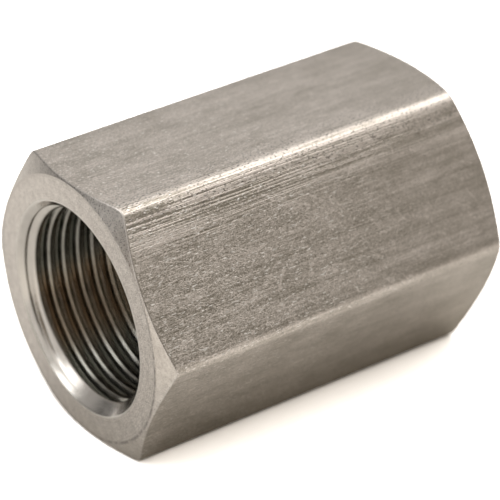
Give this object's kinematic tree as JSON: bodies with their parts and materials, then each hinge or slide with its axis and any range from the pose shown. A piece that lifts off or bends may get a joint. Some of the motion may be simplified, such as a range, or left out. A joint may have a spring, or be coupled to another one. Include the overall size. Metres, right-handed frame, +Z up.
{
  "type": "pipe coupling",
  "caption": "Hexagonal stainless steel pipe coupling, one solid bar piece with a right-hand parallel pipe thread right through and chamfered ends.",
  "frame": {"origin": "on the bore's axis, half-way along the coupling, which is the centre of its bounding box", "axes": "+X along the bore, from the near end in the picture to the far one; +Z up, square to two of the hexagon's flats; +Y completes a right-handed frame and runs through two of the corners"},
  "size_m": [0.032, 0.025, 0.022],
  "materials": {
    "stainless_steel": "drawn and turned, uncoated"
  },
  "bodies": {
    "root": {"coupling_body": "stainless_steel"}
  },
  "joints": []
}
